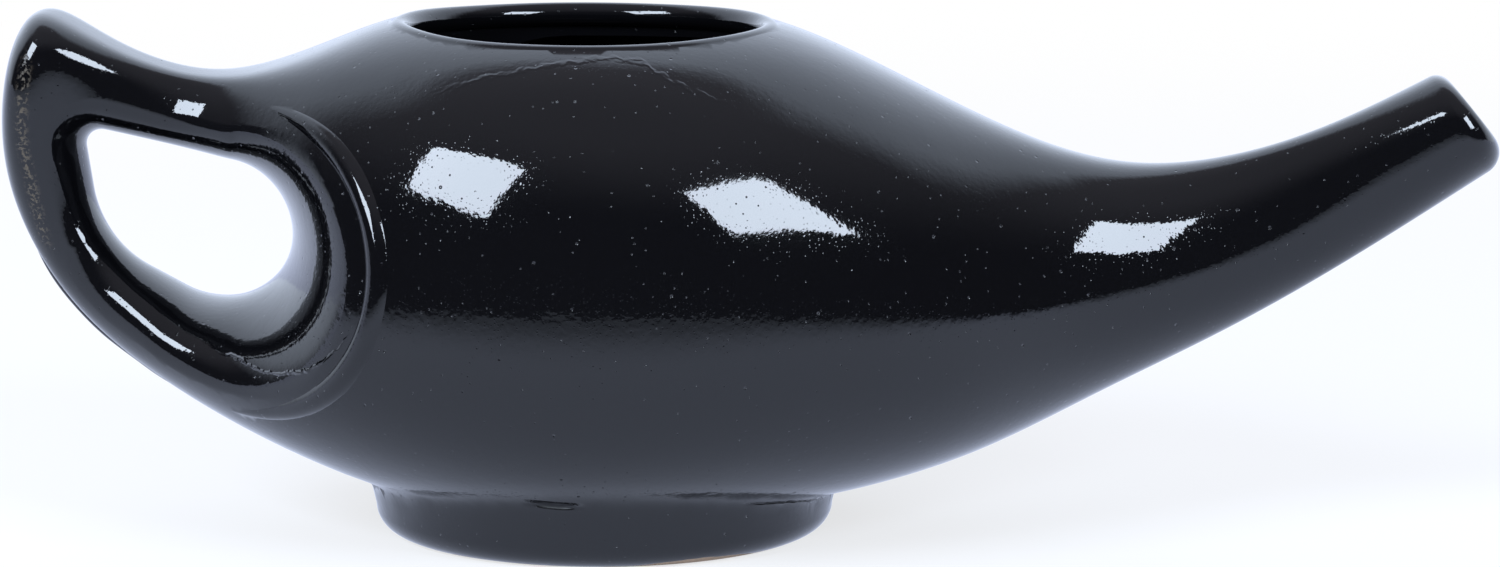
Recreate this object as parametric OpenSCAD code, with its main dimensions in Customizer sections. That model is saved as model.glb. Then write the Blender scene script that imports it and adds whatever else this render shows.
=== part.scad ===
// Neti pot: one slip-cast, glazed piece, in millimetres.
// An oval bowl runs out into a ring handle with a horn at -X and a long rising spout at +X.
// The ground is Z = 0. The pot is alike on both sides of the plane Y = 0, the parting plane of its mould.

/* [Reach] */
// From the axis of the foot to the back of the handle
handle_reach = 80; // [72:0.5:92]
// From the axis of the foot to the end of the spout
spout_reach = 119.5; // [108:0.5:140]

/* [Bowl] */
// Length of the oval bowl
bowl_l = 76; // [70:0.5:84]
// Width of the bowl at its widest
bowl_w = 88; // [80:0.5:96]
// Height of the crown through which the mouth is cut
crown_z = 70; // [64:0.5:78]
// Height of the keel over the ground
keel_z = 2.8; // [2.2:0.1:4]
// Thickness of the cast wall
wall = 4; // [3:0.1:5]

/* [Mouth] */
// Diameter of the mouth
mouth_d = 46; // [36:0.5:50]
// Place of the mouth along the bowl, from the axis of the foot
mouth_x = -2.4; // [-6:0.1:4]
// Radius of the rounded lip
lip_r = 1.6; // [1.2:0.1:2]

/* [Spout] */
// Height of the lowest point of the spout's upper edge
dip_z = 49; // [44:0.5:54]
// Height of the centre of the spout's lower corner
tip_z = 50.7; // [46:0.2:60]
// Width of the spout at its end
spout_w = 18; // [14:0.1:19]
// Length of the flat part of the spout's end
end_flat = 9.3; // [8.8:0.1:11.5]
// Angle of the spout's end, from upright
end_angle = 39; // [34:1:50]
// Radius of the end's upper corner
end_upper_r = 2.2; // [1.6:0.1:2.6]
// Radius of the end's lower corner
end_lower_r = 3.2; // [2.8:0.1:4]
// Diameter of the channel where it leaves the spout
bore_d = 7; // [5:0.1:8]

/* [Handle] */
// Height of the horn
horn_z = 69.4; // [64:0.5:78]
// Height of the saddle between the horn and the bowl
saddle_z = 61.3; // [58.5:0.5:66]
// Width of the handle at the horn
handle_w = 18.6; // [15:0.1:24]

/* [Finger hole] */
// Radius of the hole's upper back corner
hole_upper_r = 2.3; // [2:0.1:3]
// Radius of the hole's round end beside the bowl
hole_bowl_r = 9.7; // [8:0.1:10.2]
// Radius of the hole's long round side along the back
hole_back_r = 15; // [13:0.1:16.6]
// Thickness of the arms, from the hole to the back of the handle
arm_t = 11; // [9.5:0.1:13]
// How far the hole flares out beside the bowl
flare = 12.7; // [10:0.1:14]
// How much further the round edge of the hole reaches down the lower arm
arm_low = 2.8; // [1.5:0.1:3.2]
// Radius of the rolled edge between the flare and the bowl
roll_r = 2; // [1.4:0.1:2.6]

/* [Foot] */
// Diameter of the foot where it leaves the bowl
foot_d = 64; // [56:0.2:68]
// How far the foot draws in towards the ground
foot_draw = 1.3; // [0.6:0.1:3]
// Radius of the foot's lower edge
foot_edge_r = 3.5; // [2:0.1:4.4]
// Width of the unglazed ring that meets the ground
ring_w = 4.6; // [3:0.1:7]
// Depth of the hollow inside the ring
hollow_depth = 1.8; // [1:0.1:2.4]

/* [Hidden] */
glaze = "#15151a";
// How many outline steps there are between two stations, and points around a section
steps = 4;
around = 36;
// The axis of the foot, seen from the middle of the pot's length
foot_x = (handle_reach - spout_reach) / 2;
// Height up to which the foot reaches into the bowl
foot_top = 10;
// How far a cutting shape runs past what it cuts
past = 6;
// How deep the rounded edges sit in the wall
sink = 0.15;
// How far the roll's middle lies inside the corner that it rounds, as a share of its radius
roll_in = 0.65;

function mix(a, b, f) = a + (b - a) * f;
function flip(list) = [for (i = [len(list) - 1:-1:0]) list[i]];
function ease(f) = let (g = min(1, max(0, f))) g * g * (3 - 2 * g);
function unit(v) = v / norm(v);
function signed_power(v, p) = sign(v) * pow(abs(v), p);

// A smooth curve through values one step apart: its bends at the values, and the curve at t
function bends(v) =
    let (
        last = len(v) - 1,
        none = 0 * v[0],
        down = [for (i = 0, c = 0, d = none; i < last;
                d = i + 1 < last ? (6 * (v[i] - 2 * v[i + 1] + v[i + 2]) - d) / (4 - c) : none,
                c = 1 / (4 - c), i = i + 1) [c, d]],
        up = [for (i = last, m = none; i >= 0;
                m = i > 1 ? down[i - 1][1] - down[i - 1][0] * m : none,
                i = i - 1) m]
    )
    flip(up);
function curve(v, bend, t) =
    let (k = min(len(v) - 2, max(0, floor(t))), u = t - k, w = 1 - u)
    w * v[k] + u * v[k + 1] + ((pow(w, 3) - w) * bend[k] + (pow(u, 3) - u) * bend[k + 1]) / 6;

// The spout's end: a flat between two round corners, in the plane Y = 0
end_out = [cos(end_angle), sin(end_angle)];
end_up = [-sin(end_angle), cos(end_angle)];
lower_corner = [spout_reach - end_lower_r, tip_z];
upper_corner = lower_corner + end_flat * end_up + (end_lower_r - end_upper_r) * end_out;
rise_above = 24;
rise_below = 31;
function corner(centre, r, from, f) =
    let (a = mix(from, end_angle, f))
    centre + r * [cos(a), sin(a)];
function end_top(f) = corner(upper_corner, end_upper_r, rise_above + 90, f);
function end_under(f) = corner(lower_corner, end_lower_r, rise_below - 90, f);

// Places along the handle, the bowl and the spout, as shares of each
function handle_at(f) = -mix(bowl_l / 2, handle_reach, f);
function bowl_at(f) = f * bowl_l / 2;
function spout_at(f) = mix(bowl_l / 2, spout_reach, f);
function to_bowl(narrow, f) = mix(narrow, bowl_w, f) / 2;
// Heights of the underside on its way up to the horn and to the spout's end
function hornward(f) = mix(keel_z, horn_z, f);
function tipward(f) = mix(keel_z, tip_z, f);

// Stations from the horn to the spout's end: the point of the upper outline, the point of the
// lower outline, half the width between them, and how square the section is above and below
stations = [
    [[handle_at(0.929), horn_z - 1.7], [handle_at(0.929), horn_z - 1.7], 0, 2, 2],
    [[handle_at(0.826), horn_z - 0.1], [handle_at(0.985), hornward(0.856)], 0.55 * handle_w, 3.2, 2.5],
    [[handle_at(0.626), mix(saddle_z, horn_z, 0.43)], [handle_at(0.973), hornward(0.65)],
        0.495 * handle_w, 4.4, 2.8],
    [[handle_at(0.321), saddle_z], [handle_at(0.788), hornward(0.422)], handle_w / 2, 5, 2.8],
    [[handle_at(0.012), mix(saddle_z, crown_z, 0.34)], [handle_at(0.452), hornward(0.249)],
        to_bowl(handle_w, 0.33), 3.4, 2.6],
    [[bowl_at(-0.684), mix(saddle_z, crown_z, 0.84)], [bowl_at(-1), hornward(0.107)],
        to_bowl(handle_w, 0.73), 2.5, 2.5],
    [[bowl_at(-0.276), crown_z], [bowl_at(-0.38), keel_z + 0.3], to_bowl(handle_w, 0.96), 2.85, 2.5],
    [[bowl_at(0.184), crown_z], [bowl_at(0.25), keel_z], bowl_w / 2, 2.68, 2.5],
    [[bowl_at(0.605), mix(dip_z, crown_z, 0.892)], [bowl_at(0.842), tipward(0.066)],
        to_bowl(spout_w, 0.824), 2.4, 2.4],
    [[bowl_at(1.013), mix(dip_z, crown_z, 0.583)], [bowl_at(1.33), tipward(0.176)],
        to_bowl(spout_w, 0.561), 2.3, 2.3],
    [[spout_at(0.197), mix(dip_z, crown_z, 0.226)], [spout_at(0.357), tipward(0.333)],
        to_bowl(spout_w, 0.24), 2.3, 2.1],
    [[spout_at(0.412), dip_z], [spout_at(0.566), tipward(0.508)], to_bowl(spout_w, 0.033), 2.4, 2],
    [[spout_at(0.658), mix(dip_z, end_top(0)[1], 0.278)], [spout_at(0.775), tipward(0.714)],
        to_bowl(spout_w, -0.066), 2.35, 2],
    [end_top(0), end_under(0), spout_w / 2, 2.3, 2]
];
last = len(stations) - 1;

// The whole outline is one curve, from the spout's lower corner round the horn to its upper corner
outline = concat([for (i = [last:-1:1]) stations[i][1]], [for (s = stations) s[0]]);
outline_bend = bends(outline);
widths = concat([for (i = [last:-1:1]) -stations[i][2]], [for (s = stations) s[2]]);
widths_bend = bends(widths);
square_above = [for (s = stations) s[3]];
square_above_bend = bends(square_above);
square_below = [for (s = stations) s[4]];
square_below_bend = bends(square_below);

// The section at t: upper point, lower point, half width, squareness above and below
function section(t) = t > last ? end_section(t - last) : [
    curve(outline, outline_bend, last + t),
    curve(outline, outline_bend, last - t),
    curve(widths, widths_bend, last + t),
    curve(square_above, square_above_bend, t),
    curve(square_below, square_below_bend, t)
];
function end_section(f) = [
    end_top(f),
    end_under(f),
    spout_w / 2 - (end_upper_r + end_lower_r) / 2 * (1 - cos(90 * f)),
    2.3,
    2
];
function on_section(s, angle) =
    let (
        middle = (s[0] + s[1]) / 2,
        half = (s[0] - s[1]) / 2,
        rise = signed_power(sin(angle), 2 / (sin(angle) < 0 ? s[4] : s[3])),
        side = signed_power(cos(angle), 2 / (sin(angle) < 0 ? s[4] : s[3]))
    )
    [middle[0] + half[0] * rise, s[2] * side, middle[1] + half[1] * rise];
function ring(s, n) = [for (i = [0:n - 1]) on_section(s, 360 * i / n)];

// A closed solid through rings of points that all have the same length
module skin(rings) {
    n = len(rings[0]);
    m = len(rings);
    polyhedron(
        points = [for (r = rings) each r],
        faces = concat(
            [[for (i = [0:n - 1]) i]],
            [for (j = [0:m - 2], i = [0:n - 1]) each [
                [j * n + i, (j + 1) * n + i, j * n + (i + 1) % n],
                [j * n + (i + 1) % n, (j + 1) * n + i, (j + 1) * n + (i + 1) % n]
            ]],
            [[for (i = [n - 1:-1:0]) (m - 1) * n + i]]
        )
    );
}

// The full outside of the pot, before anything is cut out of it
outside_steps = concat(
    [0.03, 0.12, 0.28, 0.5, 0.75],
    [for (i = [steps:last * steps]) i / steps],
    [for (i = [1:5]) last + i / 5]
);
module outside() {
    skin([for (t = outside_steps) ring(section(t), around)]);
}

// Half the width of the outside at a point of the plane Y = 0
function beyond(t, p) = let (s = section(t), d = s[0] - s[1], q = p - s[1]) d[0] * q[1] - d[1] * q[0];
function station_of(p, low, high, n) =
    n == 0 ? (low + high) / 2
    : let (t = (low + high) / 2)
    beyond(t, p) > 0 ? station_of(p, low, t, n - 1) : station_of(p, t, high, n - 1);
function half_width_at(p) =
    let (
        s = section(station_of(p, 0.05, last, 16)),
        half = (s[0] - s[1]) / 2,
        rise = (p - (s[0] + s[1]) / 2) * half / (half * half),
        square = rise < 0 ? s[4] : s[3]
    )
    s[2] * pow(max(0, 1 - pow(abs(rise), square)), 1 / square);
// Height of the outside over a point of the ground plan
function top_at(x, y, low, high, n) =
    n == 0 ? (low + high) / 2
    : let (z = (low + high) / 2)
    half_width_at([x, z]) > y ? top_at(x, y, z, high, n - 1) : top_at(x, y, low, z, n - 1);

// The inside: the outside drawn in by the wall, with a round nose towards the handle
nose = 4.75;
nose_end = 6.3;
neck = 10;
function wall_at(t) = mix(wall, (spout_w - bore_d) / 2, ease((t - neck) / (last - neck)));
function inside_section(t) =
    let (
        s = section(t),
        middle = (s[0] + s[1]) / 2,
        half = (s[0] - s[1]) / 2,
        w = wall_at(t),
        f = t < nose_end ? sqrt(1 - pow((nose_end - t) / (nose_end - nose), 2)) : 1,
        inner = f * (norm(half) - w) * unit(half)
    )
    [middle + inner, middle - inner, f * (s[2] - w), s[3], s[4]];
function beyond_end(s, far) = [s[0] + far * end_out, s[1] + far * end_out, s[2], s[3], s[4]];
inside_steps = concat(
    [for (a = [4:14:88]) nose_end - (nose_end - nose) * cos(a)],
    [for (i = [20:last * 3]) i / 3]
);
module inside() {
    skin(concat(
        [for (t = inside_steps) ring(inside_section(t), 26)],
        [ring(beyond_end(inside_section(last), past), 26)]
    ));
}

// The finger hole at the plane Y = 0: a band drawn round three circles, each with its centre,
// its radius, and how many points lie along its arc and along the run to the next circle
hole_circles = [
    [[-handle_reach + arm_t + hole_upper_r, mix(keel_z, crown_z, 0.725)], hole_upper_r, 6, 2],
    [[-handle_reach + arm_t + 0.7 + hole_back_r, mix(keel_z, crown_z, 0.671)], hole_back_r, 9, 2],
    [[handle_at(0.312), mix(keel_z, crown_z, 0.56)], hole_bowl_r, 16, 6]
];
// The normal of the band's straight run from circle a to circle b
function run_angle(a, b) =
    let (d = b[0] - a[0])
    atan2(d[1], d[0]) - acos((a[1] - b[1]) / norm(d));
function turned(from, to) = to < from ? turned(from, to + 360) : to;
function arc_of(before, c, after, n) =
    let (from = run_angle(before, c), to = turned(from, run_angle(c, after)))
    [for (i = [0:n]) let (a = mix(from, to, i / n), n = [cos(a), sin(a)]) [c[0] + c[1] * n, n]];
// The band's points and normals: arcs of a few points each, and runs cut into shorter ones
function circle_at(i) = hole_circles[(i + 3) % 3];
hole_arcs = [for (i = [0:2]) let (c = circle_at(i)) arc_of(circle_at(i - 1), c, circle_at(i + 1), c[2])];
hole_band = [for (i = [0:2]) each concat(
    hole_arcs[i],
    let (a = hole_arcs[i][len(hole_arcs[i]) - 1], b = hole_arcs[(i + 1) % 3][0], n = circle_at(i)[3])
    [for (j = [1:1:n - 1]) [mix(a[0], b[0], j / n), a[1]]]
)];
// How much a place of the band flares, by which way it faces: 0 along the arms, 1 beside the bowl
function nearness(b) = ease((95 - abs(atan2(b[1][1], b[1][0]) + 8)) / 60);
// Each place on the band: point, normal, flare, half width at the flare's edge, nearness, and how
// steeply the arm falls away outside the edge
hole_places = [for (b = hole_band)
    let (
        near = nearness(b),
        out = mix(arm_t / 2 - 0.4 + arm_low * max(0, -b[1][1]), flare, near),
        edge = half_width_at(b[0] + out * b[1]),
        fall = edge - half_width_at(b[0] + (out + 1) * b[1])
    )
    [b[0], b[1], out, edge, near, min(0.7, fall) * pow(1 - near, 4)]
];
// The flare is a round arc that starts across the hole and runs smoothly on into the arms
function on_flare(h, f, side) =
    let (
        pull = mix(0.71, 0.5, h[4]) * 2 * f * (1 - f),
        total = pow(1 - f, 2) + pull + f * f,
        p = h[0] + h[2] * f * f / total * h[1]
    )
    [p[0], side * (pull * (h[3] + h[5] * h[2]) + f * f * h[3]) / total, p[1]];
function hole_ring(f, side) = [for (h = hole_places) on_flare(h, f, side)];
function hole_mouth(side) = [for (h = hole_places)
    let (p = h[0] + (h[2] + 0.4) * h[1])
    [p[0], side * (bowl_w / 2 + past), p[1]]
];
hole_levels = [0.18, 0.34, 0.5, 0.64, 0.78, 0.9, 1];
module finger_hole() {
    skin(concat(
        [hole_mouth(1)],
        [for (f = flip(hole_levels)) hole_ring(f, 1)],
        [hole_ring(0, 1)],
        [for (f = hole_levels) hole_ring(f, -1)],
        [hole_mouth(-1)]
    ));
}

// A round edge: balls along a path, joined one to the next
module ball(p, r) {
    translate(p) sphere(r = r, $fn = 12);
}
module rolled_edge(path, radii, closed) {
    n = len(path);
    for (i = [0:n - (closed ? 1 : 2)]) {
        hull() {
            ball(path[i], radii[i]);
            ball(path[(i + 1) % n], radii[(i + 1) % n]);
        }
    }
}
// The rolled edge where the flare meets the bowl: it thins and sinks into both arms
function roll_size(near) = (near - 0.1) / 0.9;
rolled = [for (h = hole_places) if (h[4] > 0.1) h];
roll_places = [for (h = rolled)
    let (deep = mix(2.4, roll_in * roll_r, roll_size(h[4])), p = h[0] + (h[2] + deep) * h[1])
    [p[0], half_width_at(p) - deep, p[1]]
];
roll_radii = [for (h = rolled) mix(0.8, roll_r, roll_size(h[4]))];
module hole_roll() {
    for (side = [-1, 1]) {
        rolled_edge([for (p = roll_places) [p[0], side * p[1], p[2]]], roll_radii, false);
    }
}

// The mouth is bored through the crown, and its lip is rolled round
lip_places = [for (i = [0:39])
    let (
        a = 360 * i / 40,
        x = mouth_x + (mouth_d / 2 + lip_r) * cos(a),
        y = (mouth_d / 2 + lip_r) * sin(a)
    )
    [x, y, top_at(x, abs(y), crown_z - 16, crown_z + 2, 12) - lip_r + sink]
];
module lip() {
    rolled_edge(lip_places, [for (p = lip_places) lip_r], true);
}
module mouth() {
    translate([mouth_x, 0, crown_z - 3 * wall]) {
        cylinder(h = 3 * wall + past, r = mouth_d / 2 + lip_r, $fn = 64);
    }
}

// The foot: a turned ring that draws in and ends in a round edge
foot_base_r = foot_d / 2 - foot_draw;
module foot() {
    rotate_extrude($fn = 64) {
        polygon(concat(
            [[0, 0]],
            [for (a = [-90:18:0]) [foot_base_r, foot_edge_r] + foot_edge_r * [cos(a) - 1, sin(a)]],
            [[foot_d / 2, foot_top - 0.6], [foot_d / 2 - 4, foot_top], [0, foot_top]]
        ));
    }
}
hollow_r = foot_base_r - foot_edge_r - ring_w;
module foot_hollow() {
    rotate_extrude($fn = 64) {
        polygon([
            [0, -1], [hollow_r + 0.6, -1], [hollow_r, 0], [hollow_r - 1.2, hollow_depth], [0, hollow_depth]
        ]);
    }
}

module pot() color(glaze) translate([foot_x, 0, 0]) {
    difference() {
        union() {
            outside();
            foot();
        }
        mouth();
        inside();
        finger_hole();
        foot_hollow();
    }
    lip();
    hole_roll();
}

pot();
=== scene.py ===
# Black glazed neti pot: its looks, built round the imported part
import math
import bpy
import numpy as np
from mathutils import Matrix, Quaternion, Vector


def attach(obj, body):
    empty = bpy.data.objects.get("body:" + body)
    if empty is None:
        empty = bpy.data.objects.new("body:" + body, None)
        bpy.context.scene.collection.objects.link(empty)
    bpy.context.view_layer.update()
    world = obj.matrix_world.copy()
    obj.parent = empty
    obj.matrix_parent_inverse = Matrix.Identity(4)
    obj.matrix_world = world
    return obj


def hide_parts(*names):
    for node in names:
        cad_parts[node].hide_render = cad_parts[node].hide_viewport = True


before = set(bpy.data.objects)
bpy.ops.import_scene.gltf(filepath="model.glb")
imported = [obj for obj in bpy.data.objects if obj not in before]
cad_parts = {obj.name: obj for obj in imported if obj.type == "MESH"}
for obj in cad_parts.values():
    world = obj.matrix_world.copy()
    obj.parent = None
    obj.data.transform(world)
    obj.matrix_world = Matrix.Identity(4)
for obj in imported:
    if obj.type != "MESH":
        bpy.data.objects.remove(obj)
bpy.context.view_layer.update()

mm = 0.001

# Sizes in mm, heights over the ground, lengths from the axis of the foot
pot = {
    "handleReach": 80,
    "spoutReach": 119.5,
    "bowlLength": 76,
    "bowlWidth": 88,
    "crown": 70,
    "keel": 2.8,
    "wall": 4,
}
handle = {"horn": 69.4, "saddle": 61.3, "width": 18.6}
spout = {
    "dip": 49,
    "tip": 50.7,
    "width": 18,
    "endFlat": 9.3,
    "endAngle": 39,
    "endUpper": 2.2,
    "endLower": 3.2,
    "riseAbove": 24,
    "riseBelow": 31,
    "bore": 7,
}
footX = (pot["handleReach"] - pot["spoutReach"]) / 2  # the foot's axis in the frame


def mix(a, b, f):
    return a + (b - a) * f


def ease(f):
    g = np.clip(f, 0, 1)
    return g * g * (3 - 2 * g)


def direction(degrees):
    return np.array([math.cos(math.radians(degrees)), math.sin(math.radians(degrees))])


# A smooth curve through values one step apart
def curveThrough(values):
    v = np.array(values, float)
    matrix = np.eye(len(v))
    right = np.zeros_like(v)
    for i in range(1, len(v) - 1):
        matrix[i, i - 1:i + 2] = (1, 4, 1)
        right[i] = 6 * (v[i - 1] - 2 * v[i] + v[i + 1])
    bends = np.linalg.solve(matrix, right)

    def at(t):
        t = np.asarray(t, float)
        k = np.clip(np.floor(t).astype(int), 0, len(v) - 2)
        u = t - k
        if v.ndim > 1:
            u = u[..., None]
        w = 1 - u
        straight = w * v[k] + u * v[k + 1]
        return straight + ((w ** 3 - w) * bends[k] + (u ** 3 - u) * bends[k + 1]) / 6

    return at


# The flat end of the spout, between two round corners
halfBowl = pot["bowlLength"] / 2
endOut = direction(spout["endAngle"])
endUp = direction(spout["endAngle"] + 90)
lowerCorner = np.array([pot["spoutReach"] - spout["endLower"], spout["tip"]])
upperCorner = lowerCorner + spout["endFlat"] * endUp + (spout["endLower"] - spout["endUpper"]) * endOut


def cornerArc(centre, radius, start, f):
    angle = np.radians(mix(start, spout["endAngle"], np.asarray(f, float)))
    return centre + radius * np.stack([np.cos(angle), np.sin(angle)], -1)


def endTop(f):
    return cornerArc(upperCorner, spout["endUpper"], spout["riseAbove"] + 90, f)


def endUnder(f):
    return cornerArc(lowerCorner, spout["endLower"], spout["riseBelow"] - 90, f)


def handleAt(f):
    return -mix(halfBowl, pot["handleReach"], f)


def bowlAt(f):
    return f * halfBowl


def spoutAt(f):
    return mix(halfBowl, pot["spoutReach"], f)


def hornward(f):
    return mix(pot["keel"], handle["horn"], f)


def tipward(f):
    return mix(pot["keel"], spout["tip"], f)


def crownward(f):
    return mix(pot["keel"], pot["crown"], f)


def toBowl(narrow, f):
    return mix(narrow, pot["bowlWidth"], f) / 2


# From the horn to the spout's end: a point of the upper outline, one of the lower outline,
# half the width between them, and how square the section is above and below
crown, saddle, dip, horn = pot["crown"], handle["saddle"], spout["dip"], handle["horn"]
handleWidth, spoutWidth = handle["width"], spout["width"]
stations = [
    ((handleAt(0.929), horn - 1.7), (handleAt(0.929), horn - 1.7),
     0, 2, 2),
    ((handleAt(0.826), horn - 0.1), (handleAt(0.985), hornward(0.856)),
     0.55 * handleWidth, 3.2, 2.5),
    ((handleAt(0.626), mix(saddle, horn, 0.43)), (handleAt(0.973), hornward(0.65)),
     0.495 * handleWidth, 4.4, 2.8),
    ((handleAt(0.321), saddle), (handleAt(0.788), hornward(0.422)),
     handleWidth / 2, 5, 2.8),
    ((handleAt(0.012), mix(saddle, crown, 0.34)), (handleAt(0.452), hornward(0.249)),
     toBowl(handleWidth, 0.33), 3.4, 2.6),
    ((bowlAt(-0.684), mix(saddle, crown, 0.84)), (bowlAt(-1), hornward(0.107)),
     toBowl(handleWidth, 0.73), 2.5, 2.5),
    ((bowlAt(-0.276), crown), (bowlAt(-0.38), pot["keel"] + 0.3),
     toBowl(handleWidth, 0.96), 2.85, 2.5),
    ((bowlAt(0.184), crown), (bowlAt(0.25), pot["keel"]),
     pot["bowlWidth"] / 2, 2.68, 2.5),
    ((bowlAt(0.605), mix(dip, crown, 0.892)), (bowlAt(0.842), tipward(0.066)),
     toBowl(spoutWidth, 0.824), 2.4, 2.4),
    ((bowlAt(1.013), mix(dip, crown, 0.583)), (bowlAt(1.33), tipward(0.176)),
     toBowl(spoutWidth, 0.561), 2.3, 2.3),
    ((spoutAt(0.197), mix(dip, crown, 0.226)), (spoutAt(0.357), tipward(0.333)),
     toBowl(spoutWidth, 0.24), 2.3, 2.1),
    ((spoutAt(0.412), dip), (spoutAt(0.566), tipward(0.508)),
     toBowl(spoutWidth, 0.033), 2.4, 2),
    ((spoutAt(0.658), mix(dip, endTop(0)[1], 0.278)), (spoutAt(0.775), tipward(0.714)),
     toBowl(spoutWidth, -0.066), 2.35, 2),
    (tuple(endTop(0)), tuple(endUnder(0)),
     spoutWidth / 2, 2.3, 2),
]
last = len(stations) - 1
outlineAt = curveThrough([s[1] for s in stations[:0:-1]] + [s[0] for s in stations])
widthAt = curveThrough([-s[2] for s in stations[:0:-1]] + [s[2] for s in stations])
squareAt = curveThrough([s[3:5] for s in stations])


# Sections at all t: upper points, lower points, half widths, squareness above and below
def sectionsAt(t):
    t = np.asarray(t, float)
    inside = np.minimum(t, last)
    f = np.clip(t - last, 0, 1)
    top = np.where((t > last)[..., None], endTop(f), outlineAt(last + inside))
    under = np.where((t > last)[..., None], endUnder(f), outlineAt(last - inside))
    shrink = (spout["endUpper"] + spout["endLower"]) / 2 * (1 - np.cos(np.pi / 2 * f))
    return top, under, widthAt(last + inside) - shrink, squareAt(inside)


def signedPower(v, p):
    return np.sign(v) * np.abs(v) ** p


def onSections(top, under, width, square, angle):
    s, c = np.sin(angle), np.cos(angle)
    power = 2 / np.where(s < 0, square[..., 1], square[..., 0])
    rise = signedPower(s, power)
    side = signedPower(c, power)
    xz = (top + under) / 2 + (top - under) / 2 * rise[..., None]
    return np.stack([xz[..., 0], width * side, xz[..., 1]], -1)


# Half the width of the outside at points of the plane Y = 0
def halfWidthAt(points):
    p = np.asarray(points, float)
    low = np.full(p.shape[:-1], 0.05)
    high = np.full(p.shape[:-1], float(last))
    for _ in range(26):
        t = (low + high) / 2
        top, under, _, _ = sectionsAt(t)
        d = top - under
        q = p - under
        ahead = d[..., 0] * q[..., 1] - d[..., 1] * q[..., 0] > 0
        high = np.where(ahead, t, high)
        low = np.where(ahead, low, t)
    top, under, width, square = sectionsAt((low + high) / 2)
    half = (top - under) / 2
    rise = ((p - (top + under) / 2) * half).sum(-1) / (half ** 2).sum(-1)
    power = np.where(rise < 0, square[..., 1], square[..., 0])
    return width * np.maximum(0, 1 - np.abs(rise) ** power) ** (1 / power)


# Height of the outside over points of the ground plan, near the mouth
def topAt(x, y):
    low = np.full(x.shape, pot["crown"] - 18.0)
    high = np.full(x.shape, pot["crown"] + 2.0)
    for _ in range(22):
        z = (low + high) / 2
        wider = halfWidthAt(np.stack([x, z], -1)) > y
        low = np.where(wider, z, low)
        high = np.where(wider, high, z)
    return (low + high) / 2


def placeOnPot(points):
    p = np.array(points, float)
    p[..., 0] += footX
    return p * mm


def select(obj):
    bpy.ops.object.select_all(action="DESELECT")
    obj.select_set(True)
    bpy.context.view_layer.objects.active = obj


def named(name):
    obj = bpy.context.object
    obj.name = name
    obj.data.name = name
    return obj


def applyPlace():
    bpy.ops.object.transform_apply(location=True, rotation=True, scale=True)


def coordinatesOf(obj):
    co = np.zeros(len(obj.data.vertices) * 3)
    obj.data.vertices.foreach_get("co", co)
    return co.reshape(-1, 3)


def turnFacesOut():
    bpy.ops.mesh.select_all(action="SELECT")
    bpy.ops.mesh.normals_make_consistent(inside=False)
    bpy.ops.object.mode_set(mode="OBJECT")


def moveVertices(obj, points):
    obj.data.vertices.foreach_set("co", points.reshape(-1))
    obj.data.update()
    select(obj)
    bpy.ops.object.mode_set(mode="EDIT")
    turnFacesOut()
    return obj


# A sphere of rings and segments: how far each vertex is from one pole to the other, and its angle
def ballToShape(name, segments, rings):
    bpy.ops.object.select_all(action="DESELECT")
    bpy.ops.mesh.primitive_uv_sphere_add(segments=segments, ring_count=rings, radius=1)
    obj = named(name)
    co = coordinatesOf(obj)
    along = np.arccos(np.clip(-co[:, 2], -1, 1)) / np.pi
    angle = np.arctan2(co[:, 1], co[:, 0])
    return obj, along, angle


# A torus: the place of each vertex round it, and its angle in the section
def torusToShape(name, around, section):
    bpy.ops.object.select_all(action="DESELECT")
    bpy.ops.mesh.primitive_torus_add(
        major_segments=around, minor_segments=section, major_radius=2, minor_radius=1
    )
    obj = named(name)
    co = coordinatesOf(obj)
    turn = np.arctan2(co[:, 1], co[:, 0])
    place = np.rint(turn / (2 * np.pi) * around).astype(int) % around
    outward = np.hypot(co[:, 0], co[:, 1]) - 2
    return obj, place, np.arctan2(co[:, 2], outward)


# Points of a bead: round each place of a closed path, at an angle in its section
def roundPath(path, up, place, angle, radius):
    ahead = np.roll(path, -1, axis=0) - np.roll(path, 1, axis=0)
    ahead /= np.linalg.norm(ahead, axis=1)[:, None]
    sideways = np.cross(ahead, np.array(up, float))
    sideways /= np.linalg.norm(sideways, axis=1)[:, None]
    upward = np.cross(sideways, ahead)
    return path[place] + radius * (
        np.cos(angle)[:, None] * sideways[place] + np.sin(angle)[:, None] * upward[place]
    )


# Rings of the outside: close together at the horn and round the spout's end
outside = {"rings": 220, "segments": 144, "horn": 10, "end": 18, "face": 4}


def makeOutside():
    rings, hornRings, face = outside["rings"], outside["horn"], outside["face"]
    obj, along, angle = ballToShape("outside", outside["segments"], rings)
    ring = along * rings
    t = np.interp(
        ring,
        [0, hornRings, rings - outside["end"], rings - face, rings],
        [0, 0.5, last, last + 1, last + 1],
    )
    t = np.where(along < hornRings / rings, 0.5 * (ring / hornRings) ** 1.6, t)
    closing = np.clip((rings - ring) / face, 0, 1)
    top, under, width, square = sectionsAt(t)
    middle = (top + under) / 2
    top = mix(middle, top, closing[:, None])
    under = mix(middle, under, closing[:, None])
    return moveVertices(obj, placeOnPot(onSections(top, under, width * closing, square, angle)))


# The water's room: it starts at a round nose and narrows from the neck to the bore
cavity = {
    "nose": 4.75,
    "noseEnd": 6.3,
    "noseRings": 16,
    "neck": 10,
    "past": 6,
    "endRings": 4,
    "rings": 110,
    "segments": 84,
}


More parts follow.
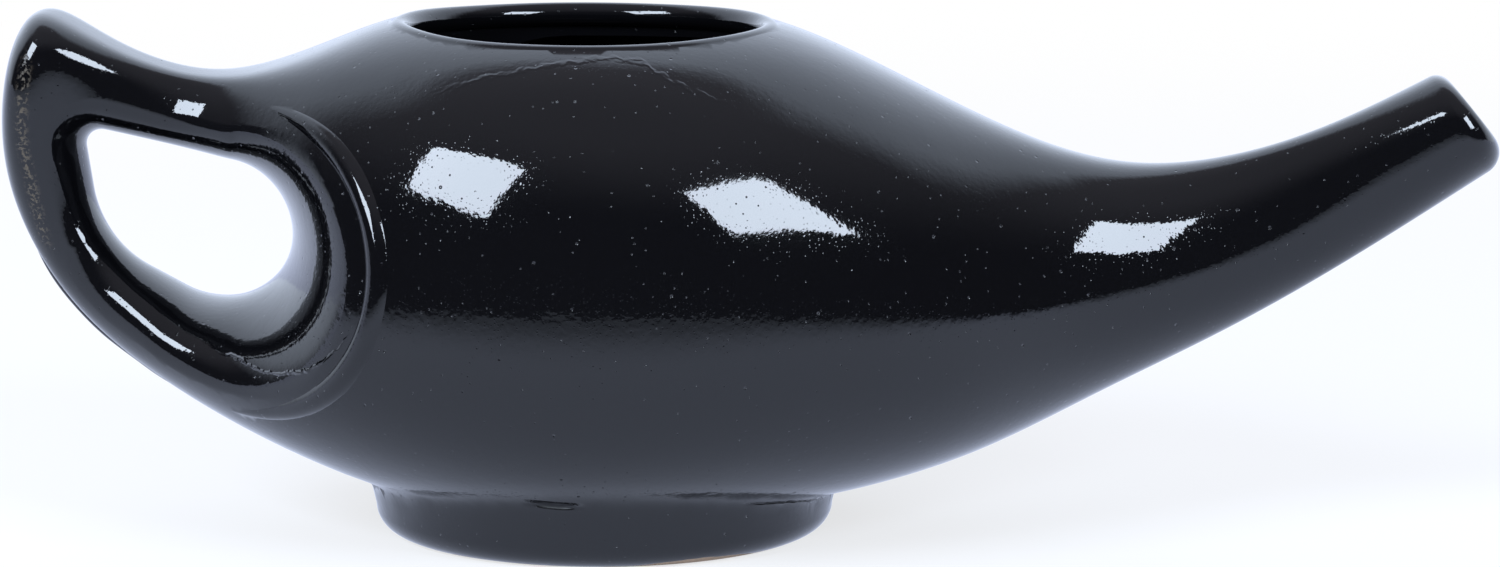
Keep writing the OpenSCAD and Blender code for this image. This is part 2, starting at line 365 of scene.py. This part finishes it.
def makeInside():
    rings, noseRings, endRings = cavity["rings"], cavity["noseRings"], cavity["endRings"]
    nose, noseEnd, neck = cavity["nose"], cavity["noseEnd"], cavity["neck"]
    obj, along, angle = ballToShape("inside", cavity["segments"], rings)
    ring = along * rings
    inNose = ring < noseRings
    turn = np.clip(ring / noseRings, 0, 1) * np.pi / 2
    noseAt = noseEnd - (noseEnd - nose) * np.cos(turn)
    t = np.where(inNose, noseAt, mix(noseEnd, last, (ring - noseRings) / (rings - noseRings - endRings)))
    t = np.minimum(t, last)
    top, under, width, square = sectionsAt(t)
    middle = (top + under) / 2
    half = (top - under) / 2
    length = np.linalg.norm(half, axis=1)
    wall = mix(pot["wall"], (spout["width"] - spout["bore"]) / 2, ease((t - neck) / (last - neck)))
    shrink = np.where(inNose, np.sin(turn), 1) * np.where(ring > rings - 0.5, 0, 1)
    inner = (shrink * (length - wall) / length)[:, None] * half
    points = onSections(middle + inner, middle - inner, shrink * (width - wall), square, angle)
    beyond = np.clip((ring - (rings - endRings)) / (endRings - 1), 0, 1) * cavity["past"]
    points[:, 0] += beyond * endOut[0]
    points[:, 2] += beyond * endOut[1]
    return moveVertices(obj, placeOnPot(points))


# The finger hole is a band round three circles, at the arms and towards the bowl
fingerHole = {
    "arm": 11,
    "upperRadius": 2.3,
    "upperHeight": 0.725,
    "backRadius": 15,
    "backHeight": 0.671,
    "backInset": 0.7,
    "bowlRadius": 9.7,
    "bowlHeight": 0.56,
    "bowlPlace": 0.312,
    "middleHeight": 0.585,
    "middlePlace": 0.41,
    "flare": 12.7,
    "armTrim": 0.4,
    "armLow": 2.8,
    "armFall": 0.7,
    "armPull": 0.71,
    "bowlPull": 0.5,
    "bowlFacing": -8,
    "bowlEnd": 95,
    "bowlFade": 60,
    "bowlSmooth": 2.2,
    "around": 288,
    "levels": 30,
    "capRings": 3,
    "capOut": 0.4,
    "capPast": 6,
}
backX = fingerHole["arm"] - pot["handleReach"]
holeCircles = [
    ((backX + fingerHole["upperRadius"], crownward(fingerHole["upperHeight"])), fingerHole["upperRadius"]),
    ((backX + fingerHole["backInset"] + fingerHole["backRadius"], crownward(fingerHole["backHeight"])),
     fingerHole["backRadius"]),
    ((handleAt(fingerHole["bowlPlace"]), crownward(fingerHole["bowlHeight"])), fingerHole["bowlRadius"]),
]
holeMiddle = np.array([handleAt(fingerHole["middlePlace"]), crownward(fingerHole["middleHeight"])])


def runAngle(a, b):
    d = np.array(b[0]) - np.array(a[0])
    return math.atan2(d[1], d[0]) - math.acos((a[1] - b[1]) / math.hypot(d[0], d[1]))


def bandRound(circles):
    points, normals = [], []
    for i, (centre, radius) in enumerate(circles):
        start = runAngle(circles[i - 1], circles[i])
        end = runAngle(circles[i], circles[(i + 1) % 3])
        while end < start:
            end += 2 * math.pi
        for angle in np.linspace(start, end, 200):
            normal = np.array([math.cos(angle), math.sin(angle)])
            points.append(np.array(centre) + radius * normal)
            normals.append(normal)
    return np.array(points), np.array(normals)


# Values round a closed band, smoothed over a number of places
def smoothRound(values, reach):
    away = np.arange(len(values))
    away = np.minimum(away, len(values) - away)
    weight = np.exp(-0.5 * (away / reach) ** 2)
    smooth = np.fft.ifft(np.fft.fft(values) * np.fft.fft(weight / weight.sum()))
    return smooth.real


# The band's places, evenly spaced: points, normals, how far the wall flares out, half the
# width there, how near the bowl each place is, and how the arm's side falls off
def holePlaces(count):
    points, normals = bandRound(holeCircles)
    closed = np.vstack([points, points[:1]])
    turned = np.vstack([normals, normals[:1]])
    gaps = np.linalg.norm(np.diff(closed, axis=0), axis=1)
    far = np.concatenate([[0], np.cumsum(gaps)])
    keep = np.concatenate([[True], gaps > 1e-9])
    where = np.arange(count) / count * far[-1]
    p = np.stack([np.interp(where, far[keep], closed[keep, k]) for k in (0, 1)], -1)
    n = np.stack([np.interp(where, far[keep], turned[keep, k]) for k in (0, 1)], -1)
    n /= np.linalg.norm(n, axis=1)[:, None]
    facing = np.abs(np.degrees(np.arctan2(n[:, 1], n[:, 0])) - fingerHole["bowlFacing"])
    near = ease((fingerHole["bowlEnd"] - facing) / fingerHole["bowlFade"])
    near = smoothRound(near, fingerHole["bowlSmooth"] * count / far[-1])
    armOut = fingerHole["arm"] / 2 - fingerHole["armTrim"] + fingerHole["armLow"] * np.maximum(0, -n[:, 1])
    out = mix(armOut, fingerHole["flare"], near)
    edge = halfWidthAt(p + out[:, None] * n)
    fall = np.minimum(fingerHole["armFall"], edge - halfWidthAt(p + (out + 1)[:, None] * n)) * (1 - near) ** 4
    return p, n, out, edge, near, fall


def makeHoleCutter():
    around, levels, capRings = fingerHole["around"], fingerHole["levels"], fingerHole["capRings"]
    rings = 2 * (levels + capRings)
    obj, along, angle = ballToShape("holeCutter", around, rings)
    p, n, out, edge, near, fall = holePlaces(around)
    ring = np.rint(along * rings).astype(int)
    place = np.rint(angle / (2 * np.pi) * around).astype(int) % around
    level = ring - rings // 2
    f = np.clip(np.abs(level) / levels, 0, 1)
    pull = mix(fingerHole["armPull"], fingerHole["bowlPull"], near[place]) * 2 * f * (1 - f)
    total = (1 - f) ** 2 + pull + f * f
    rise = out[place] * f * f / total
    y = (pull * (edge[place] + fall[place] * out[place]) + f * f * edge[place]) / total
    beyond = np.abs(level) - levels
    rise = np.where(beyond > 0, out[place] + fingerHole["capOut"], rise)
    y = np.where(beyond > 0, pot["bowlWidth"] / 2 + fingerHole["capPast"], y)
    xz = p[place] + rise[:, None] * n[place]
    capShrink = np.where(beyond == capRings - 1, 0.5, np.where(beyond >= capRings, 0, 1))
    xz = mix(holeMiddle, xz, capShrink[:, None])
    return moveVertices(obj, placeOnPot(np.stack([xz[:, 0], np.sign(level) * y, xz[:, 1]], -1)))


# The edge of the funnel in the bowl: it ends inside the wall where the arms begin
roll = {"radius": 2, "deep": 0.65, "start": 0.1, "endRadius": 0.8, "endDeep": 2.4, "section": 24}


def makeRoll(side):
    around = fingerHole["around"]
    obj, place, angle = torusToShape("roll", around, roll["section"])
    p, n, out, edge, near, fall = holePlaces(around)
    size = np.maximum(0, near - roll["start"]) / (1 - roll["start"])
    deep = mix(roll["endDeep"], roll["deep"] * roll["radius"], size)
    radius = mix(roll["endRadius"], roll["radius"], size)
    xz = p + (out + deep)[:, None] * n
    path = np.stack([xz[:, 0], side * (halfWidthAt(xz) - deep), xz[:, 1]], -1)
    return moveVertices(obj, placeOnPot(roundPath(path, (0, 1, 0), place, angle, radius[place][:, None])))


mouth = {"diameter": 46, "x": -2.4, "lip": 1.6, "sink": 0.15, "around": 224, "section": 28}


def makeMouthCutter():
    bpy.ops.object.select_all(action="DESELECT")
    height = 3 * pot["wall"] + 6
    bpy.ops.mesh.primitive_cylinder_add(
        vertices=mouth["around"],
        radius=(mouth["diameter"] / 2 + mouth["lip"]) * mm,
        depth=height * mm,
        location=((footX + mouth["x"]) * mm, 0, (pot["crown"] - 3 * pot["wall"] + height / 2) * mm),
    )
    obj = named("mouthCutter")
    applyPlace()
    return obj


def makeLip():
    around = mouth["around"]
    obj, place, angle = torusToShape("lip", around, mouth["section"])
    turn = np.arange(around) / around * 2 * np.pi
    radius = mouth["diameter"] / 2 + mouth["lip"]
    x = mouth["x"] + radius * np.cos(turn)
    y = radius * np.sin(turn)
    z = topAt(x, np.abs(y)) - mouth["lip"] + mouth["sink"]
    path = np.stack([x, y, z], -1)
    return moveVertices(obj, placeOnPot(roundPath(path, (0, 0, 1), place, angle, mouth["lip"])))


# The fillet is glaze in the corner under the bowl, as steps out from the foot's side and up from
# its top, and the last of them lies inside the bowl
foot = {
    "diameter": 64,
    "draw": 1.3,
    "edge": 3.5,
    "ring": 4.6,
    "hollow": 1.8,
    "top": 10,
    "around": 192,
    "fillet": [(-0.5, -3), (-0.25, -2), (0.2, -1), (0.9, -0.1), (1.8, 0.8), (-4, 1.6)],
}
corner = {"out": 0.5, "down": 0.5, "reach": 2.7, "full": 0.6, "rounds": 16}


# A round piece drawn up from a circle, ring by ring, and closed at both ends
def turnUp(name, profile):
    bpy.ops.object.select_all(action="DESELECT")
    r, z = profile[0]
    bpy.ops.mesh.primitive_circle_add(
        vertices=foot["around"], radius=r * mm, fill_type="NGON", location=(footX * mm, 0, z * mm)
    )
    obj = named(name)
    applyPlace()
    bpy.ops.object.mode_set(mode="EDIT")
    bpy.ops.mesh.select_all(action="SELECT")
    for nextR, nextZ in profile[1:]:
        bpy.ops.mesh.extrude_region_move(TRANSFORM_OT_translate={"value": (0, 0, (nextZ - z) * mm)})
        grow = nextR / r
        bpy.ops.transform.resize(value=(grow, grow, 1), center_override=(footX * mm, 0, nextZ * mm))
        r, z = nextR, nextZ
    turnFacesOut()
    return obj


def makeFoot():
    edge = foot["edge"]
    inner = foot["diameter"] / 2 - foot["draw"] - edge
    profile = [(inner, 0)]
    for degrees in range(-80, 1, 10):
        arc = direction(degrees)
        profile.append((inner + edge * arc[0], edge + edge * arc[1]))
    profile += [(foot["diameter"] / 2 + out, foot["top"] + up) for out, up in foot["fillet"]]
    return turnUp("foot", profile)


def makeFootHollow():
    radius = foot["diameter"] / 2 - foot["draw"] - foot["edge"] - foot["ring"]
    high = foot["hollow"]
    profile = [(radius + 0.6, -1), (radius, 0), (radius - 0.5, high - 0.5), (radius - 1.2, high)]
    return turnUp("footHollow", profile)


# Smooths the corner between the bowl and the foot
def smoothCorner(obj):
    co = coordinatesOf(obj)
    r = np.hypot(co[:, 0] - footX * mm, co[:, 1]) - (foot["diameter"] / 2 + corner["out"]) * mm
    z = co[:, 2] - (foot["top"] - corner["down"]) * mm
    weight = ease(1 + corner["full"] - np.hypot(r, z) / (corner["reach"] * mm))
    group = obj.vertex_groups.new(name="corner")
    for index in np.nonzero(weight > 0)[0]:
        group.add([int(index)], float(weight[index]), "REPLACE")
    select(obj)
    modifier = obj.modifiers.new("smoothCorner", "SMOOTH")
    modifier.factor = 0.5
    modifier.iterations = corner["rounds"]
    modifier.vertex_group = "corner"
    bpy.ops.object.modifier_apply(modifier=modifier.name)


def combine(obj, other, operation):
    select(obj)
    modifier = obj.modifiers.new(operation, "BOOLEAN")
    modifier.operation = operation
    modifier.solver = "MANIFOLD"
    modifier.object = other
    bpy.ops.object.modifier_apply(modifier=modifier.name)
    bpy.data.objects.remove(other)
    print("  ", operation.lower(), "vertices", len(obj.data.vertices))


print("pot: outside")
body = makeOutside()
combine(body, makeFoot(), "UNION")
smoothCorner(body)
print("pot: cuts")
combine(body, makeMouthCutter(), "DIFFERENCE")
combine(body, makeInside(), "DIFFERENCE")
combine(body, makeHoleCutter(), "DIFFERENCE")
combine(body, makeFootHollow(), "DIFFERENCE")
print("pot: rolled edges")
combine(body, makeLip(), "UNION")
combine(body, makeRoll(1), "UNION")
combine(body, makeRoll(-1), "UNION")
body.name = "glazedPot"
body.data.name = "glazedPot"
select(body)
bpy.ops.object.shade_smooth_by_angle(angle=math.radians(32))
print("pot: triangles", sum(len(face.vertices) - 2 for face in body.data.polygons))
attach(body, "root")
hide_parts("pot")


def addNode(tree, kind, place, **settings):
    node = tree.nodes.new(kind)
    node.location = place
    for key, value in settings.items():
        setattr(node, key, value)
    return node


# Links a socket, or sets a number or a colour
def feed(tree, socket, value):
    if isinstance(value, bpy.types.NodeSocket):
        tree.links.new(value, socket)
    elif isinstance(value, tuple):
        socket.default_value = (*value, 1)
    else:
        socket.default_value = value


def calculate(tree, operation, values, place):
    node = addNode(tree, "ShaderNodeMath", place, operation=operation)
    for index, value in enumerate(values):
        feed(tree, node.inputs[index], value)
    return node.outputs["Value"]


# A value that goes from start to end while another goes from low to high
def ramp(tree, value, low, high, place, start=0, end=1, kind="SMOOTHSTEP"):
    node = addNode(tree, "ShaderNodeMapRange", place, interpolation_type=kind)
    ends = {"From Min": low, "From Max": high, "To Min": start, "To Max": end, "Value": value}
    for name, number in ends.items():
        feed(tree, node.inputs[name], number)
    return node.outputs["Result"]


def blend(tree, kind, first, second, factor, place):
    node = addNode(tree, "ShaderNodeMix", place, data_type=kind)
    for name, value in (("A", first), ("B", second), ("Factor", factor)):
        feed(tree, node.inputs[name], value)
    return node.outputs["Result"]


def splitPlace(tree, vector, place):
    node = addNode(tree, "ShaderNodeSeparateXYZ", place)
    tree.links.new(vector, node.inputs["Vector"])
    return [node.outputs[axis] for axis in "XYZ"]


# Black glaze, nearly black and glossy: sizes and heights in metres, a pit's radius is a share of
# its cell, and each pair is where something begins and where it is full
glaze = {
    "body": (0.0026, 0.0026, 0.0032),
    "clay": (0.36, 0.25, 0.17),
    "wear": (0.075, 0.06, 0.043),
    "roughness": 0.035,
    "smudge": 0.05,
    "smudgeSize": 0.03,
    "clayRoughness": 0.75,
    "ior": 1.5,
    "waveSize": 0.016,
    "waveHeight": 0.00011,
    "peelSize": 0.0009,
    "peelHeight": 0.000014,
    "grain": {"size": 0.00042, "radius": 0.3, "share": 0.9, "height": 0.0000075},
    "pits": {"size": 0.0013, "radius": 0.12, "share": 0.9, "height": 0.0001},
    "pinholes": {"size": 0.003, "radius": 0.085, "share": 0.8, "height": 0.00018},
    "wearSize": 0.0005,
    "wearFrom": (0.5, 0.6),
    "smudgeFrom": (0.45, 0.75),
    "shakeSize": 0.0016,
    "shake": 0.0011,
    "front": (-0.003, -0.004),
    "filletRadius": 0.0015,
    "filletFoot": (0.004, 0.007),
    "filletBowl": (0.016, 0.013),
    "claySize": 0.006,
    "clayEdge": 0.0006,
    "clayFade": 0.00015,
    "clayWander": 0.0007,
    "clayRise": 0.0007,
    "clayLeft": (-0.018, -0.008),
    "clayRight": (0.004, -0.005),
}

# Lines in the glaze of the front, in mm: points across and up, but up and across for the worn one
flaws = {
    "glazeEdge": {
        "width": 0.7,
        "fade": 8,
        "points": [
            (-42, 61.5), (-36, 63.9), (-29, 65.3), (-22, 66.4),
            (-16, 66.5), (-12, 65), (-7, 62.7), (0, 60.2),
        ],
    },
    "crease": {
        "width": 0.6,
        "fade": 5,
        "points": [
            (-71, 26.7), (-67.4, 26), (-63.3, 25.1), (-61.2, 25.3),
            (-58, 26.2), (-55.6, 27.6), (-53.3, 29.7), (-51, 32.4),
        ],
    },
    "slit": {
        "width": 1.3,
        "fade": 4,
        "points": [(-30, 9.35), (-27.3, 9.15), (-24.7, 9), (-22.6, 8.95), (-21, 8.8)],
    },
    "crack": {
        "width": 0.5,
        "fade": 6,
        "points": [(-1.5, 8), (2, 7.6), (5.1, 7.1), (9.4, 5.9)],
    },
    "wornEdge": {
        "width": 2.6,
        "fade": 5,
        "points": [
            (37, -92.9), (42, -94.2), (46, -95), (50, -95.6),
            (54, -96.1), (58, -95.9), (62, -95.4), (66.5, -94.8),
        ],
    },
}
flawHeights = {"glazeEdge": 0.000035, "crease": 0.0004, "dents": 0.0007}


# How strong a flaw is: 1 on its line, 0 at half its width and past its two ends
def addFlaw(tree, name, run, rise, front, place):
    x, y = place
    flaw = flaws[name]
    points, fade = flaw["points"], flaw["fade"]
    low, high = points[0][0], points[-1][0]
    base = min(p[1] for p in points)
    span = max(p[1] for p in points) - base
    line = addNode(tree, "ShaderNodeFloatCurve", (x + 200, y))
    curve = line.mapping.curves[0]
    spots = [((p[0] - low) / (high - low), (p[1] - base) / span) for p in points]
    curve.points[0].location = spots[0]
    curve.points[1].location = spots[-1]
    for across, up in spots[1:-1]:
        curve.points.new(across, up)
    line.mapping.update()
    tree.links.new(ramp(tree, run, low * mm, high * mm, (x, y), kind="LINEAR"), line.inputs["Value"])
    height = calculate(tree, "MULTIPLY_ADD", (line.outputs["Value"], span * mm, base * mm), (x + 450, y))
    off = calculate(tree, "SUBTRACT", (rise, height), (x + 600, y))
    off = calculate(tree, "ABSOLUTE", (off,), (x + 750, y))
    near = ramp(tree, off, flaw["width"] / 2 * mm, 0, (x + 900, y))
    first = ramp(tree, run, low * mm, (low + fade) * mm, (x + 900, y - 200))
    second = ramp(tree, run, high * mm, (high - fade) * mm, (x + 900, y - 400))
    both = calculate(tree, "MULTIPLY", (first, second), (x + 1050, y - 200))
    both = calculate(tree, "MULTIPLY", (both, near), (x + 1200, y - 100))
    return calculate(tree, "MULTIPLY", (both, front), (x + 1350, y - 100))


def addNoise(tree, vector, size, detail, place):
    node = addNode(tree, "ShaderNodeTexNoise", place)
    for name, value in (("Scale", 1 / size), ("Detail", detail), ("Roughness", 0.55), ("Vector", vector)):
        feed(tree, node.inputs[name], value)
    return node.outputs["Fac"]


# Round pits at the middle of some cells: how deep, from 0 at the rim to 1
def addPits(tree, vector, pit, place):
    x, y = place
    cells = addNode(tree, "ShaderNodeTexVoronoi", place)
    for name, value in (("Scale", 1 / pit["size"]), ("Randomness", 0.9), ("Vector", vector)):
        feed(tree, cells.inputs[name], value)
    depth = ramp(tree, cells.outputs["Distance"], pit["radius"], pit["radius"] * 0.25, (x + 200, y))
    pick = addNode(tree, "ShaderNodeSeparateColor", (x + 200, y - 260))
    tree.links.new(cells.outputs["Color"], pick.inputs["Color"])
    some = ramp(tree, pick.outputs["Red"], 1 - pit["share"], 1, (x + 400, y - 260), kind="LINEAR")
    return calculate(tree, "MULTIPLY", (depth, some), (x + 600, y))


def addBump(tree, height, distance, before, place, invert=False):
    node = addNode(tree, "ShaderNodeBump", place, invert=invert)
    for name, value in (("Strength", 1), ("Distance", distance), ("Height", height), ("Normal", before)):
        feed(tree, node.inputs[name], value)
    return node.outputs["Normal"]


# The glaze rounds the corner over the foot
def addFilletNormal(tree, up):
    filled = addNode(tree, "ShaderNodeBevel", (-800, -200), samples=6)
    filled.inputs["Radius"].default_value = glaze["filletRadius"]
    sharp = addNode(tree, "ShaderNodeNewGeometry", (-800, -500))
    above = ramp(tree, up, *glaze["filletFoot"], (-800, 0))
    below = ramp(tree, up, *glaze["filletBowl"], (-800, 100))
    overFoot = calculate(tree, "MULTIPLY", (above, below), (-600, 0))
    rounded = blend(tree, "VECTOR", sharp.outputs["Normal"], filled.outputs["Normal"], overFoot, (-500, -200))
    wide = addNode(tree, "ShaderNodeVectorMath", (-350, -200), operation="NORMALIZE")
    tree.links.new(rounded, wide.inputs[0])
    return wide.outputs["Vector"]


def makeGlaze():
    material = bpy.data.materials.new("blackGlaze")
    material.use_nodes = True
    tree = material.node_tree
    shader = tree.nodes["Principled BSDF"]
    shader.location = (900, 0)
    tree.nodes["Material Output"].location = (1200, 0)
    place = addNode(tree, "ShaderNodeTexCoord", (-1400, 0)).outputs["Object"]
    across, depth, up = splitPlace(tree, place, (-1400, 1800))
    front = ramp(tree, depth, *glaze["front"], (-1200, 1700))

    # Flaws that the front of the real pot has
    shakeNoise = addNoise(tree, place, glaze["shakeSize"], 1, (-1400, 2000))
    shaken = calculate(tree, "MULTIPLY_ADD", (shakeNoise, glaze["shake"], up), (-1200, 2000))
    shaken = calculate(tree, "SUBTRACT", (shaken, glaze["shake"] / 2), (-1050, 2000))
    glazeEdge = addFlaw(tree, "glazeEdge", across, shaken, front, (-1000, 2200))
    crease = addFlaw(tree, "crease", across, shaken, front, (-1000, 2800))
    slit = addFlaw(tree, "slit", across, up, front, (-1000, 3400))
    crack = addFlaw(tree, "crack", across, up, front, (-1000, 4000))
    dents = calculate(tree, "MAXIMUM", (slit, crack), (500, 3400))
    wornEdge = addFlaw(tree, "wornEdge", up, across, front, (-1000, 4600))
    wearNoise = addNoise(tree, place, glaze["wearSize"], 5, (-1400, 4600))
    worn = ramp(tree, wearNoise, *glaze["wearFrom"], (-1200, 4600))
    worn = calculate(tree, "MULTIPLY", (wornEdge, worn), (400, 4600))

    # Waves, flaws, orange peel, grain, pits and pinholes, from the widest to the smallest
    surface = addFilletNormal(tree, up)
    wave = addNoise(tree, place, glaze["waveSize"], 2, (-1100, 600))
    surface = addBump(tree, wave, glaze["waveHeight"], surface, (-200, -200))
    surface = addBump(tree, glazeEdge, flawHeights["glazeEdge"], surface, (-150, -500))
    surface = addBump(tree, crease, flawHeights["crease"], surface, (-100, -800))
    surface = addBump(tree, dents, flawHeights["dents"], surface, (-50, -1100), True)
    peel = addNoise(tree, place, glaze["peelSize"], 1.5, (-1100, 300))
    surface = addBump(tree, peel, glaze["peelHeight"], surface, (0, -250))
    for index, name in enumerate(("grain", "pits", "pinholes")):
        pits = addPits(tree, place, glaze[name], (-1100, -1300 - 500 * index))
        hollow = name != "grain"
        surface = addBump(tree, pits, glaze[name]["height"], surface, (100 + 150 * index, -300), hollow)
    tree.links.new(surface, shader.inputs["Normal"])

    # Bare clay where the foot was wiped clean, higher up at one place of its front edge
    clayNoise = addNoise(tree, place, glaze["claySize"], 3, (-900, 1400))
    edge = calculate(tree, "MULTIPLY_ADD", (clayNoise, glaze["clayWander"], up), (-500, 1200))
    leftEnd = ramp(tree, across, *glaze["clayLeft"], (-900, 1000))
    rightEnd = ramp(tree, across, *glaze["clayRight"], (-900, 800))
    thin = calculate(tree, "MULTIPLY", (leftEnd, rightEnd), (-700, 900))
    thin = calculate(tree, "MULTIPLY", (thin, front), (-600, 1000))
    lower = calculate(tree, "MULTIPLY", (thin, glaze["clayRise"]), (-500, 1000))
    edge = calculate(tree, "SUBTRACT", (edge, lower), (-400, 1100))
    clayTop = glaze["clayEdge"]
    bare = ramp(tree, edge, clayTop, clayTop - glaze["clayFade"], (-300, 1200), kind="LINEAR")

    colour = blend(tree, "RGBA", glaze["body"], glaze["clay"], bare, (500, 300))
    colour = blend(tree, "RGBA", colour, glaze["wear"], worn, (700, 300))
    tree.links.new(colour, shader.inputs["Base Color"])
    smudge = addNoise(tree, place, glaze["smudgeSize"], 4, (-1100, 900))
    smooth, dulled = glaze["roughness"], glaze["roughness"] + glaze["smudge"]
    rough = ramp(tree, smudge, *glaze["smudgeFrom"], (200, 500), smooth, dulled, "LINEAR")
    dull = calculate(tree, "MAXIMUM", (dents, worn), (300, 900))
    dull = calculate(tree, "MAXIMUM", (bare, dull), (400, 800))
    roughness = blend(tree, "FLOAT", rough, glaze["clayRoughness"], dull, (500, 600))
    tree.links.new(roughness, shader.inputs["Roughness"])
    shader.inputs["IOR"].default_value = glaze["ior"]
    return material


print("glaze")
body.data.materials.clear()
body.data.materials.append(makeGlaze())

# The pale table ends in front of the pot, and its front edge shows in the glaze
tableTop = {
    "front": -0.229,
    "back": 3.5,
    "side": 2.6,
    "colour": (0.84, 0.85, 0.87),
    "reflected": (0.86, 0.96, 1.26),
    "dimEdge": 0.02,
    "dimReach": 0.13,
    "shadow": (0.12, 0.6),
    "glowNear": 0.7,
}


def makeTable():
    front, back = tableTop["front"], tableTop["back"]
    bpy.ops.object.select_all(action="DESELECT")
    bpy.ops.mesh.primitive_plane_add(size=1, location=(0, (back + front) / 2, 0))
    table = named("paleTable")
    table.scale = (2 * tableTop["side"], back - front, 1)
    applyPlace()
    material = bpy.data.materials.new("paleTable")
    material.use_nodes = True
    tree = material.node_tree
    link = tree.links.new
    tree.nodes.remove(tree.nodes["Principled BSDF"])
    paint = addNode(tree, "ShaderNodeBsdfDiffuse", (0, 200))
    paint.inputs["Color"].default_value = (*tableTop["colour"], 1)
    path = addNode(tree, "ShaderNodeLightPath", (-600, 0))
    seen, mirrored = path.outputs["Is Camera Ray"], path.outputs["Is Glossy Ray"]
    glow = addNode(tree, "ShaderNodeEmission", (0, 0))
    link(blend(tree, "RGBA", tableTop["reflected"], (1, 1, 1), seen, (-200, 0)), glow.inputs["Color"])
    # Its reflection dims towards the front edge
    place = addNode(tree, "ShaderNodeTexCoord", (-900, 400)).outputs["Object"]
    depth = splitPlace(tree, place, (-900, -300))[1]
    inward = ramp(tree, depth, front, front + tableTop["dimReach"], (-600, -300), tableTop["dimEdge"])
    link(calculate(tree, "MAXIMUM", (inward, seen), (-300, -200)), glow.inputs["Strength"])
    # Far from the pot the table is plain white, and near it the lamps and the shadow show
    far = addNode(tree, "ShaderNodeVectorMath", (-700, 400), operation="LENGTH")
    link(place, far.inputs[0])
    shadow = tableTop["shadow"]
    near = ramp(tree, far.outputs["Value"], *shadow, (-500, 400), tableTop["glowNear"])
    anyRay = calculate(tree, "MAXIMUM", (seen, mirrored), (-300, 250))
    mixed = addNode(tree, "ShaderNodeMixShader", (250, 100))
    link(calculate(tree, "MULTIPLY", (anyRay, near), (-100, 350)), mixed.inputs["Fac"])
    link(paint.outputs["BSDF"], mixed.inputs[1])
    link(glow.outputs["Emission"], mixed.inputs[2])
    link(mixed.outputs["Shader"], tree.nodes["Material Output"].inputs["Surface"])
    table.data.materials.append(material)


# White behind and at both sides up to 55 degrees, dim overhead, and a dark room in front.
# Each pair is how far up or back a ray goes where a light begins and where it is full
room = {
    "front": (0.04, 0.04, 0.05),
    "overhead": (0.34, 0.34, 0.4),
    "behind": (1.1, 1.24, 1.5),
    "overheadUp": (0.25, 0.95),
    "behindBack": (0.08, 0.42),
    "behindUp": (0.87, 0.76),
}


def makeRoom():
    world = bpy.data.worlds.new("studioRoom")
    bpy.context.scene.world = world
    world.use_nodes = True
    tree = world.node_tree
    light = tree.nodes["Background"]
    way = addNode(tree, "ShaderNodeTexCoord", (-1200, 0)).outputs["Generated"]
    _, back, up = splitPlace(tree, way, (-1000, 0))
    above = ramp(tree, up, *room["overheadUp"], (-800, 200))
    behind = ramp(tree, back, *room["behindBack"], (-800, -50))
    low = ramp(tree, up, *room["behindUp"], (-800, -300))
    white = calculate(tree, "MULTIPLY", (behind, low), (-600, -150))
    dim = blend(tree, "RGBA", room["front"], room["overhead"], above, (-500, 150))
    lit = blend(tree, "RGBA", dim, room["behind"], white, (-300, 50))
    seen = addNode(tree, "ShaderNodeLightPath", (-500, 400)).outputs["Is Camera Ray"]
    tree.links.new(blend(tree, "RGBA", lit, (1, 1, 1), seen, (-100, 100)), light.inputs["Color"])
    light.inputs["Strength"].default_value = 1


# Two soft boxes in front, turned so that their reflections lie as on the real pot
lampGlow = 64
lampColour = (0.76, 0.86, 1)
lamps = {
    "softboxLeft": {
        "place": (-0.74, -0.61, 0.59),
        "aim": (-0.86, 0.04, 0),
        "turn": -45,
        "width": 0.7,
        "height": 0.47,
    },
    "softboxRight": {
        "place": (0.74, -0.67, 0.5),
        "aim": (0.54, -0.35, 0),
        "turn": 26,
        "width": 0.45,
        "height": 0.44,
    },
}


def makeLamp(name):
    box = lamps[name]
    spot = Vector(box["place"])
    bpy.ops.object.select_all(action="DESELECT")
    bpy.ops.object.light_add(type="AREA", location=spot)
    lamp = named(name)
    facing = (spot - Vector(box["aim"])).to_track_quat("Z", "Y")
    lamp.rotation_euler = (facing @ Quaternion((0, 0, 1), math.radians(box["turn"]))).to_euler()
    lamp.data.shape = "RECTANGLE"
    lamp.data.size = box["width"]
    lamp.data.size_y = box["height"]
    lamp.data.energy = lampGlow * box["width"] * box["height"]
    lamp.data.color = lampColour


print("table, room and lamps")
makeTable()
makeRoom()
for lampName in lamps:
    makeLamp(lampName)

# The photograph's view: from 0.73 m in front, 9.4 degrees down
view = {"place": (-0.00015, -0.73, 0.154), "aim": (-0.00015, 0, 0.0328), "lens": 132.5}
print("camera")
bpy.ops.object.select_all(action="DESELECT")
bpy.ops.object.camera_add(location=view["place"])
camera = named("photoCamera")
camera.rotation_euler = (Vector(view["aim"]) - Vector(view["place"])).to_track_quat("-Z", "Y").to_euler()
camera.data.lens = view["lens"]
camera.data.sensor_width = 36
camera.data.clip_start = 0.01
bpy.context.scene.camera = camera
bpy.context.scene.view_settings.view_transform = "Standard"
